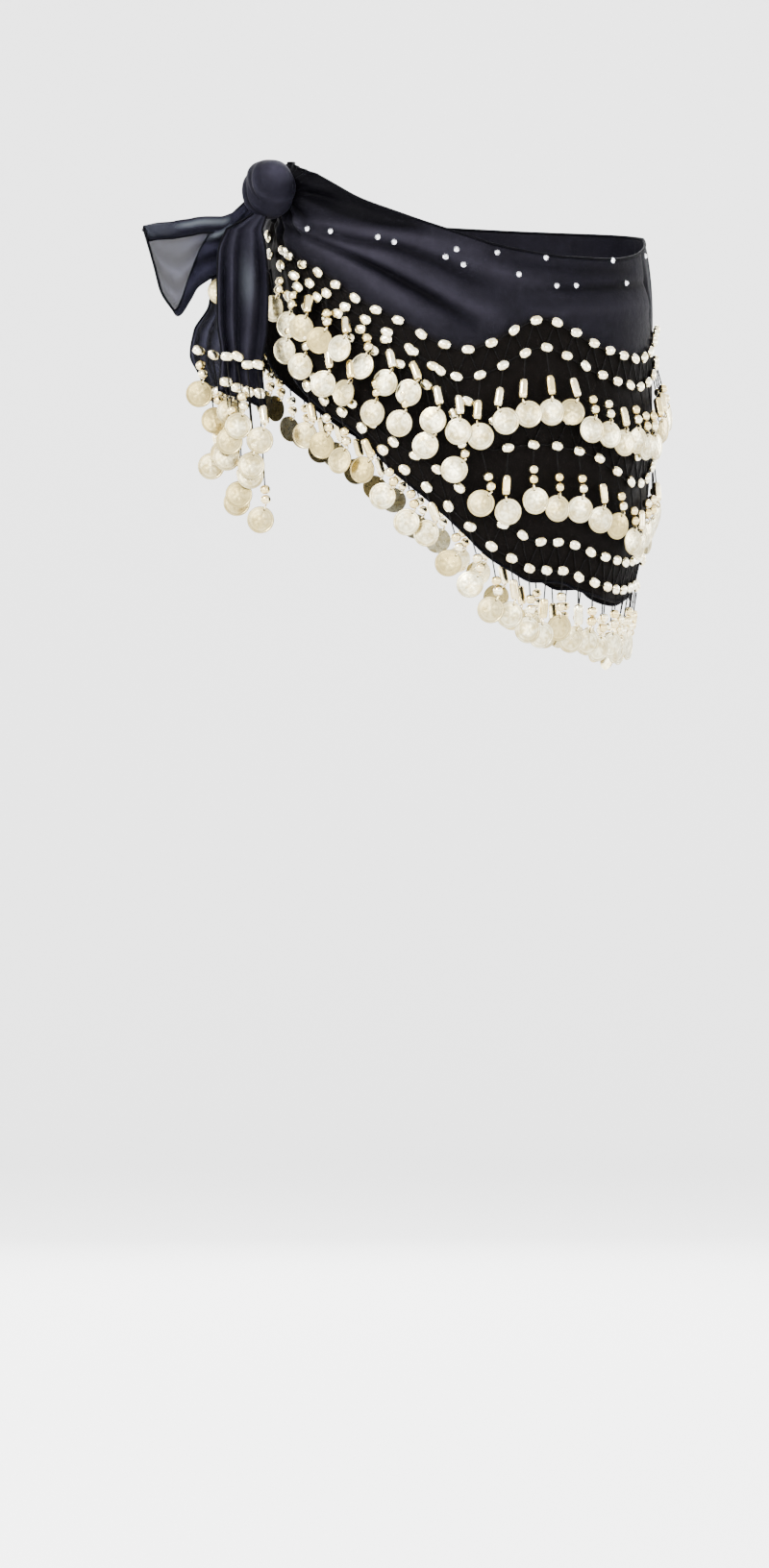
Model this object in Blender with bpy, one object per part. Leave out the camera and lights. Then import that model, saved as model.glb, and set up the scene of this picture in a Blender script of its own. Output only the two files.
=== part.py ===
"""Belly dance hip scarf: a triangle of chiffon wound round the hips and tied over the right hip.

Three tiers of coin drops run round it and its two corners hang from the knot.
Frame: +Z up, the wearer faces -Y, the knot is on the -X side and the triangle's
point hangs on the +X side. The origin is the centre of the hips at the top band.
Angles round the hips are in degrees from the front, growing towards +X.
"""
import math

import bpy
import bmesh
from mathutils import Vector

MM = 0.001
UP = Vector((0.0, 0.0, 1.0))

# Cloth sizes, millimetres
WALL = 1.4                # thickness of the scarf's wall
TAIL_WALL = 1.3           # thickness of the hanging ends
LIFT = 0.6                # gap between a fringe strip and the cloth under it
HEM_BELOW = 9.0           # cloth below the lowest bead line
PAIR_RISE = 22.0          # upper bead line above the lower one of a tier
KNOT_PAIR_RISE = 12.0     # the same, on the side of the knot
PAIR_SPREAD = (-32.0, -6.0)  # angles between which the two bead lines part

# Angles of the wrap, degrees
KNOT_ANGLE = -76.0        # the gathered front end, under the knot
POINT_ANGLE = 88.0        # the triangle's axis, at the wearer's left side
BACK_END_ANGLE = 283.85   # the gathered back end, under the knot
WALL_GAP_ANGLE = 0.08     # half of the gap between the two stretches

# Drops: a strip for each tier, a stem of two beads, and a coin
STRIP_HEIGHT = 4.0
STRIP_DEPTH = 1.6
ROOT_HALF = 2.2           # half width of a drop's root
STEM_HALF = 2.3
STEM_THICK = 1.5
COIN_RADIUS = 10.6
COIN_THICK = 1.2
DROP_STEPS = (0.0, 3.0, -2.0, 4.0, 1.0, -3.0, 2.0)
YAW_STEPS = (9.0, 11.0, 8.0, 10.0, 16.0, 9.0, 11.0, 10.0, 8.0)

# General figure that the cloth hangs on: height, half width, half depth
HIPS = (
    (-360, 132, 107),
    (-300, 143, 114),
    (-250, 153, 121),
    (-200, 158, 126),
    (-150, 160, 128),
    (-100, 159.5, 127),
    (-60, 158, 124),
    (-25, 155, 120),
    (10, 149, 115),
    (40, 141, 110),
    (70, 134, 105),
)

# Front half: angle, top edge, then the lower bead line of each tier, as heights
FRONT_LINES = (
    (-76, 40, -18, -26, -34),
    (-70, 41, -33, -46, -66),
    (-64, 36, -43, -60, -98),
    (-57, 31, -52, -71, -126),
    (-48, 22, -62, -82, -146),
    (-36, 8, -82, -104, -166),
    (-24, -3, -101, -120, -198),
    (-12, -14, -126, -146, -225),
    (-4, -21, -134, -172, -245),
    (4, -28, -128, -190, -265),
    (11, -32, -117, -187, -275),
    (19, -35, -109, -185, -283),
    (28, -37, -117, -188, -283),
    (38, -37, -128, -194, -290),
    (48, -36, -134, -206, -295),
    (57, -33, -136, -213, -297),
    (68, -27, -129, -208, -294),
    (78, -20, -116, -196, -291),
    (88, -13, -108, -188, -294),
)

# Back half: angle, and the front's angle with the same bead lines. It mirrors the front about
# the triangle's axis, and is longer near the knot.
BACK_EQUAL = ((88, 88), (134, 22), (180, -19), (220, -54), (244, -64), (262, -69), (284, -76))

# Back half of the top edge: angle, height
BACK_TOP = ((88, -13), (120, -5), (160, 2), (200, 8), (240, 21), (268, 37), (284, 40))

# Tiers: step between drops in degrees, their counts from the triangle's axis to the knot along
# the front and the back, the coin's drop below the line near the knot and away from it, and its
# lift off the cloth
TIERS = {
    "upper": dict(column=2, step=6.5, counts=(24, 28), short=36.0, long=47.0, lift=5.6),
    "middle": dict(column=3, step=7.6, counts=(20, 23), short=46.0, long=46.0, lift=3.6),
    "lower": dict(column=4, step=6.22, counts=(23, 27), short=36.0, long=47.0, lift=1.6),
}

# Gathers of the top band that run from the knot
BAND_ROWS = 8
LOWER_ROWS = 5
FRONT_COLUMNS = 40
BACK_COLUMNS = 44
GATHER_PROUD = 3.2
GATHER_FADE = (-60.0, 24.0)

# Soft vertical folds that grow towards the hem
DRAPE_PROUD = 2.0
DRAPE_COUNT = 8
DRAPE_FROM = -120.0
DRAPE_TO = -260.0

# Knot: centre by angle, height and distance from the body, then half sizes
KNOT_AT = (-67.0, 18.0, 24.0)
KNOT_HALF = (22.0, 23.5, 20.0)
KNOT_GROOVE = 0.13
KNOT_EXIT = 0.9           # from the knot's face to the middle of an end's wall

# Free bow end: distance left of the origin, upper edge, lower edge, distance in front
BOW_END = (
    (184, -1, -26, 50),
    (194, -4, -47, 50),
    (204, -4, -53, 49),
    (212, -4.5, -59, 46),
    (217, -5.5, -68, 44),
    (227, -7, -81, 43),
    (231, -8, -76, 43),
    (240, -9, -63, 45),
    (246, -10, -42, 47),
    (254, -12, -15, 48),
)
BOW_WAVE = 4.0
BOW_EXIT = dict(turn=(128.0, 128.0), tilt=(-22.0, -58.0))

# Hanging end: height, left edge and right edge (distance left of the origin), distance in front, pleat depth
HANGING_END = (
    (-14, 190, 162, 60, 1.5),
    (-34, 197, 159, 62, 4.0),
    (-60, 198, 158, 64, 5.0),
    (-90, 198, 159, 65, 5.0),
    (-118, 195, 163, 66, 4.5),
    (-148, 197, 160, 66, 4.0),
)
HANGING_EXIT = dict(turn=(112.0, 40.0), tilt=(-62.0, -62.0))
# Layer of the same end that hangs behind it
UNDER_END = (
    (-20, 195, 180, 31, 1.5),
    (-44, 197, 177, 28, 2.5),
    (-74, 200, 176, 27, 3.0),
    (-96, 212, 178, 27, 3.5),
    (-116, 215, 180, 27, 3.5),
    (-132, 208, 178, 27, 3.0),
    (-152, 201, 174, 28, 2.5),
)
UNDER_EXIT = dict(turn=(158.0, 186.0), tilt=(-50.0, -50.0))
PLEATS = 3.0
END_SLANT = 0.05          # share by which an end is longer at its right edge

# Fringes of the ends: height of the bead line, each coin's drop, and the nearest coin's lift
END_FRINGES = {
    "fringe_end_upper": dict(rows=HANGING_END, line=-118.0, drops=(68, 54, 82, 60), lift=11.6),
    "fringe_end_lower": dict(rows=HANGING_END, line=-139.0, drops=(60, 86, 68, 100), lift=1.6),
    "fringe_under_upper": dict(rows=UNDER_END, line=-32.0, drops=(30, 50), lift=9.1),
    "fringe_under_middle": dict(rows=UNDER_END, line=-112.0, drops=(34, 52, 42), lift=9.1),
    "fringe_under_lower": dict(rows=UNDER_END, line=-146.0, drops=(58, 44, 78), lift=1.6),
}
LAYER_STEP = 2.5          # depth between the drops of a gathered end
END_YAW = 3.0
NECK_FALL = 0.8           # how far a drop's neck falls for each millimetre that it stands out


def smooth(rows, x, column):
    """Value of a table's column at x, on a curve through its rows with no overshoot."""
    if x <= rows[0][0]:
        return float(rows[0][column])
    if x >= rows[-1][0]:
        return float(rows[-1][column])
    index = 0
    while rows[index + 1][0] < x:
        index += 1

    def secant(i):
        return (rows[i + 1][column] - rows[i][column]) / (rows[i + 1][0] - rows[i][0])

    def tangent(i):
        if i == 0:
            return secant(0)
        if i == len(rows) - 1:
            return secant(i - 1)
        before, after = secant(i - 1), secant(i)
        if before * after <= 0.0:
            return 0.0
        return 2.0 * before * after / (before + after)

    step = rows[index + 1][0] - rows[index][0]
    t = (x - rows[index][0]) / step
    start, end = rows[index][column], rows[index + 1][column]
    return (
        (1 + 2 * t) * (1 - t) ** 2 * start
        + t * (1 - t) ** 2 * step * tangent(index)
        + t * t * (3 - 2 * t) * end
        - t * t * (1 - t) * step * tangent(index + 1)
    )


def ease(low, high, x):
    """0 below low, 1 above high, smooth between."""
    t = min(1.0, max(0.0, (x - low) / (high - low)))
    return t * t * (3.0 - 2.0 * t)


def front_equal(angle):
    """The front half's angle that has the same bead lines."""
    if angle <= POINT_ANGLE:
        return angle
    return smooth(BACK_EQUAL, angle, 1)


def top_edge(angle):
    if angle <= POINT_ANGLE:
        return smooth(FRONT_LINES, angle, 1)
    return smooth(BACK_TOP, angle, 1)


def tier_line(column, angle):
    """Height of a tier's lower bead line."""
    return smooth(FRONT_LINES, front_equal(angle), column)


def pair_line(column, angle):
    """Height of a tier's upper bead line."""
    spread = ease(PAIR_SPREAD[0], PAIR_SPREAD[1], front_equal(angle))
    return tier_line(column, angle) + KNOT_PAIR_RISE + (PAIR_RISE - KNOT_PAIR_RISE) * spread


def hem(angle):
    return tier_line(4, angle) - HEM_BELOW


def hip_point(angle, height, out):
    """Place on the figure at an angle and a height, moved out along the hips' normal."""
    turn = math.radians(angle)
    half_width = smooth(HIPS, height, 1)
    half_depth = smooth(HIPS, height, 2)
    normal = Vector((math.sin(turn) / half_width, -math.cos(turn) / half_depth, 0.0)).normalized()
    place = Vector((half_width * math.sin(turn), -half_depth * math.cos(turn), height))
    grown = 1.0 - ease(DRAPE_TO, DRAPE_FROM, height)
    fold = DRAPE_PROUD * grown * math.sin(DRAPE_COUNT * turn + 0.8)
    return (place + normal * (out + fold)) * MM


def cloth_height(angle, row):
    """Height of a row of the wall: the band's rows first, then those down to the hem."""
    band_end = pair_line(2, angle)
    if row <= BAND_ROWS:
        return top_edge(angle) + (band_end - top_edge(angle)) * row / BAND_ROWS
    return band_end + (hem(angle) - band_end) * (row - BAND_ROWS) / LOWER_ROWS


def gather(angle, row):
    """Ridges and troughs that leave the knot along the band and die out past the front."""
    if row in (0, BAND_ROWS) or row > BAND_ROWS:
        return 0.0
    fade = 1.0 - ease(GATHER_FADE[0], GATHER_FADE[1], front_equal(angle))
    return GATHER_PROUD * fade * (1.0 if row % 2 else -0.35)


def new_object(name, bm, material, smooth_angle=40.0):
    bmesh.ops.recalc_face_normals(bm, faces=bm.faces)
    mesh = bpy.data.meshes.new(name)
    bm.to_mesh(mesh)
    bm.free()
    mesh.shade_smooth()
    mesh.set_sharp_from_angle(angle=math.radians(smooth_angle))
    mesh.materials.append(material)
    made = bpy.data.objects.new(name, mesh)
    bpy.context.collection.objects.link(made)
    return made


def make_material(name, colour, roughness, metallic=0.0):
    material = bpy.data.materials.new(name)
    material.use_nodes = True
    shader = material.node_tree.nodes["Principled BSDF"]
    shader.inputs["Base Color"].default_value = (*colour, 1.0)
    shader.inputs["Roughness"].default_value = roughness
    shader.inputs["Metallic"].default_value = metallic
    return material


def grid_normal(grid, i, j):
    """Normal of a grid of places, from its neighbours along and across."""
    along = grid[min(i + 1, len(grid) - 1)][j] - grid[max(i - 1, 0)][j]
    across = grid[i][min(j + 1, len(grid[i]) - 1)] - grid[i][max(j - 1, 0)]
    return along.cross(across).normalized()


def wall(name, grid, thickness, material):
    """Closed wall of even thickness about a grid of places."""
    bm = bmesh.new()
    sides = []
    for side in (0.5, -0.5):
        sides.append([
            [bm.verts.new(grid[i][j] + grid_normal(grid, i, j) * side * thickness * MM)
             for j in range(len(grid[i]))]
            for i in range(len(grid))
        ])
    last_i, last_j = len(grid) - 1, len(grid[0]) - 1
    for i in range(last_i):
        for j in range(last_j):
            for side in sides:
                bm.faces.new((side[i][j], side[i + 1][j], side[i + 1][j + 1], side[i][j + 1]))
    front, back = sides
    for i in range(last_i):
        for j in (0, last_j):
            bm.faces.new((front[i][j], front[i + 1][j], back[i + 1][j], back[i][j]))
    for j in range(last_j):
        for i in (0, last_i):
            bm.faces.new((front[i][j], front[i][j + 1], back[i][j + 1], back[i][j]))
    return new_object(name, bm, material)


def wrap(name, first, last, columns, material):
    """One stretch of the scarf round the hips."""
    grid = []
    for i in range(columns + 1):
        angle = first + (last - first) * i / columns
        grid.append([
            hip_point(angle, cloth_height(angle, row), gather(angle, row))
            for row in range(BAND_ROWS + LOWER_ROWS + 1)
        ])
    return wall(name, grid, WALL, material)


def knot_place(tilt, turn, gap=0.0):
    """Place on the knot by its angles of rise and turn, in degrees, with its slanting groove."""
    tilt, turn = math.radians(tilt), math.radians(turn)
    angle, height, out = KNOT_AT
    centre = hip_point(angle, height, out)
    outward = (centre - hip_point(angle, height, 0.0)).normalized()
    across = UP.cross(outward)
    side = math.cos(tilt) * math.cos(turn)
    rise = math.sin(tilt)
    depth = math.cos(tilt) * math.sin(turn)
    off_groove = (0.75 * side + 0.66 * rise + 0.10) / 0.22
    scale = 1.0 - KNOT_GROOVE * math.exp(-off_groove ** 2) * max(0.0, depth)
    wide, tall, deep = [(half * scale + gap) * MM for half in KNOT_HALF]
    return centre + across * side * wide + UP * rise * tall + outward * depth * deep


def knot(material):
    """Rounded knot where one end passes over the other."""
    rings, segments = 9, 14
    bm = bmesh.new()
    bottom = bm.verts.new(knot_place(-90.0, 0.0))
    top = bm.verts.new(knot_place(90.0, 0.0))
    loops = []
    for i in range(1, rings):
        tilt = -90.0 + 180.0 * i / rings
        loops.append([bm.verts.new(knot_place(tilt, 360.0 * j / segments)) for j in range(segments)])
    for j in range(segments):
        after = (j + 1) % segments
        bm.faces.new((bottom, loops[0][after], loops[0][j]))
        bm.faces.new((top, loops[-1][j], loops[-1][after]))
        for low, high in zip(loops, loops[1:]):
            bm.faces.new((low[j], low[after], high[after], high[j]))
    return new_object("knot", bm, material)


def knot_exit(plan, share):
    """Place just off the knot where an end leaves it, from one side of the end to the other."""
    turn, tilt = ((pair[0] + (pair[1] - pair[0]) * share) for pair in (plan["turn"], plan["tilt"]))
    return knot_place(tilt, turn, KNOT_EXIT)


def bow_end(material):
    """Free corner that stands off from the knot to the left."""
    rows, columns = 7, 13
    start, end = BOW_END[0][0], BOW_END[-1][0]
    grid = [[knot_exit(BOW_EXIT, row / rows) for row in range(rows + 1)]]
    for i in range(columns + 1):
        left = start + (end - start) * i / columns
        upper, lower, ahead = (smooth(BOW_END, left, column) for column in (1, 2, 3))
        column_places = []
        for row in range(rows + 1):
            share = row / rows
            wave = BOW_WAVE * math.sin(math.pi * 2.0 * share + 0.6) * (left - start) / (end - start)
            column_places.append(Vector((-left, -ahead - wave, upper + (lower - upper) * share)) * MM)
        grid.append(column_places)
    return wall("tail_bow", grid, TAIL_WALL, material)


def end_place(rows, height, share, out):
    """Place on a hanging end: share runs from its left edge to its right one.

    With out at 0 it is the pleated cloth, and otherwise it lies out from the pleats' crests.
    """
    falling = [(-row[0], *row[1:]) for row in rows]
    left, right, ahead, depth = (smooth(falling, -height, column) for column in (1, 2, 3, 4))
    proud = depth * math.cos(2 * math.pi * PLEATS * share) if out == 0.0 else depth + out
    fall = (height - rows[0][0]) * (1.0 + END_SLANT * (2.0 * share - 1.0))
    return Vector((-left + (left - right) * share, -ahead - proud, rows[0][0] + fall)) * MM


def hanging_end(name, rows, leave, material):
    """Pleated end that falls from the knot."""
    columns, steps = 15, 9
    grid = []
    for i in range(columns + 1):
        share = i / columns
        fall = [
            end_place(rows, rows[0][0] + (rows[-1][0] - rows[0][0]) * j / steps, share, 0.0)
            for j in range(steps + 1)
        ]
        grid.append([knot_exit(leave, share)] + fall)
    return wall(name, grid, TAIL_WALL, material)


def strand_ring(centre, across, outward, half, thick, yaw):
    """Four corners round a drop: left inner, left outer, right outer, right inner."""
    turned = across * math.cos(yaw) + outward * math.sin(yaw)
    deep = outward * math.cos(yaw) - across * math.sin(yaw)
    return [
        centre + turned * side * half * MM + deep * depth * thick * 0.5 * MM
        for side, depth in ((-1, -1), (-1, 1), (1, 1), (1, -1))
    ]


def fringe(name, places, stations, material, neck=False):
    """Strip along a bead line with a drop at each station, all one body.

    places(station, drop, out) gives a place below the line; stations holds
    (station, half step, coin drop, coin yaw, lift) for each drop. With a neck,
    the drop slopes out to its lift under the strip.
    """
    bm = bmesh.new()
    strip_rings = []
    for station, half, *_ in stations:
        for shift in (-half, half):
            strip_rings.append([
                bm.verts.new(places(station + shift, drop, out))
                for drop, out in (
                    (-STRIP_HEIGHT / 2, LIFT), (-STRIP_HEIGHT / 2, LIFT + STRIP_DEPTH),
                    (STRIP_HEIGHT / 2, LIFT + STRIP_DEPTH), (STRIP_HEIGHT / 2, LIFT),
                )
            ])
    for index, (ring, after) in enumerate(zip(strip_rings, strip_rings[1:])):
        for k in range(4):
            if k == 2 and index % 2 == 0:
                continue
            bm.faces.new((ring[k], ring[(k + 1) % 4], after[(k + 1) % 4], after[k]))
    bm.faces.new(strip_rings[0])
    bm.faces.new(strip_rings[-1])
    for index, (station, half, coin_drop, yaw, lift) in enumerate(stations):
        left, right = strip_rings[2 * index], strip_rings[2 * index + 1]
        loop = [left[3], left[2], right[2], right[3]]
        across = places(station + half, coin_drop, lift) - places(station - half, coin_drop, lift)
        across = Vector((across.x, across.y, 0.0)).normalized()
        outward = across.cross(UP)
        turn = math.radians(yaw)
        coin_out = lift + COIN_THICK / 2 + COIN_RADIUS * math.sin(abs(turn))
        stem_end = coin_drop - COIN_RADIUS - 1.0
        rings = [
            (stem_end, lift + STEM_THICK / 2, STEM_HALF, STEM_THICK, 0.0),
            (coin_drop - 0.5 * COIN_RADIUS, coin_out, 0.87 * COIN_RADIUS, COIN_THICK, turn),
            (coin_drop + 0.5 * COIN_RADIUS, coin_out, 0.87 * COIN_RADIUS, COIN_THICK, turn),
            (coin_drop + COIN_RADIUS, coin_out, 0.35 * COIN_RADIUS, COIN_THICK, turn),
        ]
        if neck:
            neck_end = STRIP_HEIGHT / 2 + NECK_FALL * lift
            rings.insert(0, (neck_end, lift + STEM_THICK / 2, ROOT_HALF, STEM_THICK, 0.0))
        for drop, out, half_width, thick, ring_yaw in rings:
            centre = places(station, drop, out)
            corners = strand_ring(centre, across, outward, half_width, thick, ring_yaw)
            ring = [bm.verts.new(corner) for corner in corners]
            for k in range(4):
                bm.faces.new((loop[k], loop[(k + 1) % 4], ring[(k + 1) % 4], ring[k]))
            loop = ring
        bm.faces.new(loop)
    return new_object(name, bm, material, 25.0)


def degrees_for(length, angle):
    """Angle round the hips that spans a length, near an angle."""
    turn = math.radians(angle)
    speed = math.hypot(HIPS[4][1] * math.cos(turn), HIPS[4][2] * math.sin(turn))
    return math.degrees(length / speed)


def tier_fringe(name, tier, back, material):
    """Drops of one tier along one half of the scarf."""
    column, lift = tier["column"], tier["lift"]

    def places(angle, drop, out):
        return hip_point(angle, tier_line(column, angle) - drop, WALL / 2 + out)

    stations = []
    for i in range(tier["counts"][1 if back else 0]):
        aside = tier["step"] * (i + 0.5)
        angle = POINT_ANGLE + (aside if back else -aside)
        reach = ease(-24.0, 6.0, front_equal(angle))
        drop = tier["short"] + (tier["long"] - tier["short"]) * reach
        drop += DROP_STEPS[i % len(DROP_STEPS)]
        yaw = YAW_STEPS[(i + 2 * column + (4 if back else 0)) % len(YAW_STEPS)]
        stations.append((angle, degrees_for(ROOT_HALF, angle), drop, yaw, lift))
    stations.sort()
    return fringe(name, places, stations, material)


def end_fringe(name, plan, material):
    """Drops across one of the hanging ends, each in a layer of its own depth."""
    count = len(plan["drops"])

    def places(share, drop, out):
        return end_place(plan["rows"], plan["line"], share, TAIL_WALL / 2 + out) - UP * drop * MM

    stations = []
    for i, drop in enumerate(plan["drops"]):
        share = (i + 0.5) / count
        width = (places(1.0, 0.0, 1.0) - places(0.0, 0.0, 1.0)).length / MM
        stations.append((share, ROOT_HALF / width, drop, END_YAW, plan["lift"] + LAYER_STEP * i))
    return fringe(name, places, stations, material, neck=True)


def build():
    for old in list(bpy.data.objects):
        bpy.data.objects.remove(old, do_unlink=True)
    chiffon = make_material("chiffon", (0.012, 0.013, 0.026), 0.75)
    sheer = make_material("sheer_chiffon", (0.030, 0.033, 0.052), 0.7)
    coin_gold = make_material("coin_gold", (0.85, 0.76, 0.48), 0.28, 1.0)
    wrap("front_wrap", KNOT_ANGLE, POINT_ANGLE - WALL_GAP_ANGLE, FRONT_COLUMNS, chiffon)
    wrap("back_wrap", POINT_ANGLE + WALL_GAP_ANGLE, BACK_END_ANGLE, BACK_COLUMNS, chiffon)
    knot(chiffon)
    bow_end(sheer)
    hanging_end("tail_hanging", HANGING_END, HANGING_EXIT, chiffon)
    hanging_end("tail_under", UNDER_END, UNDER_EXIT, sheer)
    for tier_name, tier in TIERS.items():
        tier_fringe(f"fringe_{tier_name}_front", tier, False, coin_gold)
        tier_fringe(f"fringe_{tier_name}_back", tier, True, coin_gold)
    for fringe_name, plan in END_FRINGES.items():
        end_fringe(fringe_name, plan, coin_gold)


build()
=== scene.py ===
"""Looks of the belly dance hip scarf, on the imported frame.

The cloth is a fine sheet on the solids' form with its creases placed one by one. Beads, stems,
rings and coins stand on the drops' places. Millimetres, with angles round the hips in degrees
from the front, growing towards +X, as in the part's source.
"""
import math

import bpy
import numpy as np
from mathutils import Matrix, Vector


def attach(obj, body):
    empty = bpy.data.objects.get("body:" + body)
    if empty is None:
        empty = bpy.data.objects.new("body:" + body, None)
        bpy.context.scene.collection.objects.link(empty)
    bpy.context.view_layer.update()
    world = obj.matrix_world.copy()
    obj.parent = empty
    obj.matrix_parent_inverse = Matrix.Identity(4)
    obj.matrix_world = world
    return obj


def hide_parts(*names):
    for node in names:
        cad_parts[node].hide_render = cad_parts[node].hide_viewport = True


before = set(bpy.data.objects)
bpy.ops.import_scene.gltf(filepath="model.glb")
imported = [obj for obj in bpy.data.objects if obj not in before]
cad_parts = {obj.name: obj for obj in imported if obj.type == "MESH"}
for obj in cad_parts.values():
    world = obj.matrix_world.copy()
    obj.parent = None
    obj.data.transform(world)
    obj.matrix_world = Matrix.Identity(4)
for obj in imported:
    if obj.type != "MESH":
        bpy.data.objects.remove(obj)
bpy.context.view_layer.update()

MM = 0.001
UP = Vector((0.0, 0.0, 1.0))

# Sizes and tables that the solids are built on
WALL = 1.4
HEM_BELOW = 9.0
PAIR_RISE = 22.0
KNOT_PAIR_RISE = 12.0
PAIR_SPREAD = (-32.0, -6.0)
KNOT_ANGLE = -76.0
POINT_ANGLE = 88.0
BACK_END_ANGLE = 283.85
COIN_RADIUS = 10.6
DROP_STEPS = (0.0, 3.0, -2.0, 4.0, 1.0, -3.0, 2.0)
YAW_STEPS = (9.0, 11.0, 8.0, 10.0, 16.0, 9.0, 11.0, 10.0, 8.0)
# Drops beside the knot swing the other way, to the front: up to this angle, and how far
SWUNG_TO = -44.0
SWUNG = -1.4
SWUNG_LIFT = 3.5
HIPS = (
    (-360, 132, 107), (-300, 143, 114), (-250, 153, 121), (-200, 158, 126), (-150, 160, 128),
    (-100, 159.5, 127), (-60, 158, 124), (-25, 155, 120), (10, 149, 115), (40, 141, 110),
    (70, 134, 105),
)
# Angle, top edge, then the lower bead line of each tier
FRONT_LINES = (
    (-76, 40, -18, -26, -34), (-70, 41, -33, -46, -66), (-64, 36, -43, -60, -98),
    (-57, 31, -52, -71, -126), (-48, 22, -62, -82, -146), (-36, 8, -82, -104, -166),
    (-24, -3, -101, -120, -198), (-12, -14, -126, -146, -225), (-4, -21, -134, -172, -245),
    (4, -28, -128, -190, -265), (11, -32, -117, -187, -275), (19, -35, -109, -185, -283),
    (28, -37, -117, -188, -283), (38, -37, -128, -194, -290), (48, -36, -134, -206, -295),
    (57, -33, -136, -213, -297), (68, -27, -129, -208, -294), (78, -20, -116, -196, -291),
    (88, -13, -108, -188, -294),
)
# Back half: angle, and the front's angle with the same bead lines
BACK_EQUAL = ((88, 88), (134, 22), (180, -19), (220, -54), (244, -64), (262, -69), (284, -76))
BACK_TOP = ((88, -13), (120, -5), (160, 2), (200, 8), (240, 21), (268, 37), (284, 40))
# Column of the table, step between drops, their counts along the front and the back, coin's drop
# near the knot and away from it, and the coin's lift off the cloth, which clears the beads below
TIERS = {
    "upper": (2, 6.5, (24, 28), 36.0, 47.0, 7.4),
    "middle": (3, 7.6, (20, 23), 46.0, 46.0, 5.2),
    "lower": (4, 6.22, (23, 27), 36.0, 47.0, 1.9),
}
# Loose beads where the rows start beside the knot: angle, height
FIRST_BEADS = ((-75.2, -17), (-73.5, -31), (-64, -30))
BAND_ROWS = 8
GATHER_PROUD = 3.2
GATHER_FADE = (-60.0, 24.0)
DRAPE_PROUD = 2.0
DRAPE_COUNT = 8
DRAPE_START = 0.8
DRAPE_FROM = -120.0
DRAPE_TO = -260.0
KNOT_AT = (-67.0, 18.0, 24.0)
KNOT_HALF = (22.0, 23.5, 20.0)
BOW_END = (
    (184, -1, -26, 50), (194, -4, -47, 50), (204, -4, -53, 49), (212, -4.5, -59, 46),
    (217, -5.5, -68, 44), (227, -7, -81, 43), (231, -8, -76, 43), (240, -9, -63, 45),
    (246, -10, -42, 47), (254, -12, -15, 48),
)
HANGING_END = (
    (-14, 190, 162, 60, 1.5), (-34, 197, 159, 62, 4.0), (-60, 198, 158, 64, 5.0),
    (-90, 198, 159, 65, 5.0), (-118, 195, 163, 66, 4.5), (-148, 197, 160, 66, 4.0),
)
UNDER_END = (
    (-20, 195, 180, 31, 1.5), (-44, 197, 177, 28, 2.5), (-74, 200, 176, 27, 3.0),
    (-96, 212, 178, 27, 3.5), (-116, 215, 180, 27, 3.5), (-132, 208, 178, 27, 3.0),
    (-152, 201, 174, 28, 2.5),
)
END_SLANT = 0.05
END_FRINGES = {
    "fringe_end_upper": (HANGING_END, -118.0, (68, 54, 82, 60), 11.6),
    "fringe_end_lower": (HANGING_END, -139.0, (60, 86, 68, 100), 1.6),
    "fringe_under_upper": (UNDER_END, -32.0, (30, 50), 9.1),
    "fringe_under_middle": (UNDER_END, -112.0, (34, 52, 42), 9.1),
    "fringe_under_lower": (UNDER_END, -146.0, (58, 44, 78), 1.6),
}

# Creases of the cloth: half width, how far it stands proud (a trough is less than 0), and the
# angles and heights along it
CREASES = (
    (5.0, 2.6, ((-66, -4), (-47, -11), (-27, -19), (-13, -26), (4, -35))),
    (6.0, -3.6, ((-66, 22), (-54, 14), (-40, 3), (-27, -9), (-13, -17))),
    (4.2, -4.2, ((-65, -11), (-41, -33), (-26, -51), (-12, -72), (1, -94))),
    (6.5, 3.0, ((-65, -8), (-44, -26), (-28, -40), (-15, -57), (-2, -77), (9, -90))),
    (6.0, 2.8, ((-64, -16), (-50, -29), (-35, -49), (-21, -73), (-8, -94))),
    (3.8, -2.2, ((-50, -18), (-36, -25), (-22, -32), (-7, -49), (6, -66))),
    (5.5, 1.8, ((-47, -16), (-21, -27), (-4, -41), (13, -55), (27, -65))),
    (3.2, -1.8, ((14, -64), (30, -62), (58, -55), (74, -50))),
    (6.5, 1.5, ((12, -84), (33, -78), (62, -69), (84, -66))),
    (4.2, -1.3, ((5, -39), (21, -45), (38, -47), (61, -42))),
    (4.5, -1.6, ((-70, -17), (-59, -50), (-48, -84), (-34, -138))),
    (5.0, 1.6, ((-72, -12), (-63, -46), (-56, -90), (-47, -135))),
    (5.0, -1.5, ((68, -26), (73, -60), (79, -98), (84, -150))),
    (6.0, 1.5, ((80, -20), (85, -58), (91, -100), (97, -160))),
    (4.5, -1.3, ((98, -15), (103, -50), (106, -88))),
    (5.5, -2.4, ((276, 18), (250, 0), (226, -14), (204, -22))),
    (6.0, 2.8, ((278, 6), (252, -14), (228, -34), (206, -46), (184, -54))),
    (4.4, -3.6, ((276, -6), (254, -26), (232, -52), (214, -72), (196, -88))),
    (6.2, 2.6, ((276, -14), (258, -40), (241, -66), (224, -92))),
    (3.8, -2.0, ((268, -2), (240, -20), (214, -36), (188, -44), (166, -48))),
    (5.0, 1.7, ((238, -8), (210, -22), (184, -30), (158, -32))),
    (4.2, -1.6, ((188, -62), (164, -66), (140, -62), (118, -52))),
    (6.0, 1.5, ((192, -78), (166, -82), (138, -80), (112, -70))),
    (4.0, -1.4, ((178, -12), (156, -22), (134, -28), (112, -30))),
    (4.6, -1.6, ((280, -20), (268, -58), (256, -98), (246, -146))),
)
CREASE_GAIN = 1.45
HEM_FLUTTER = 1.1
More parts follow.
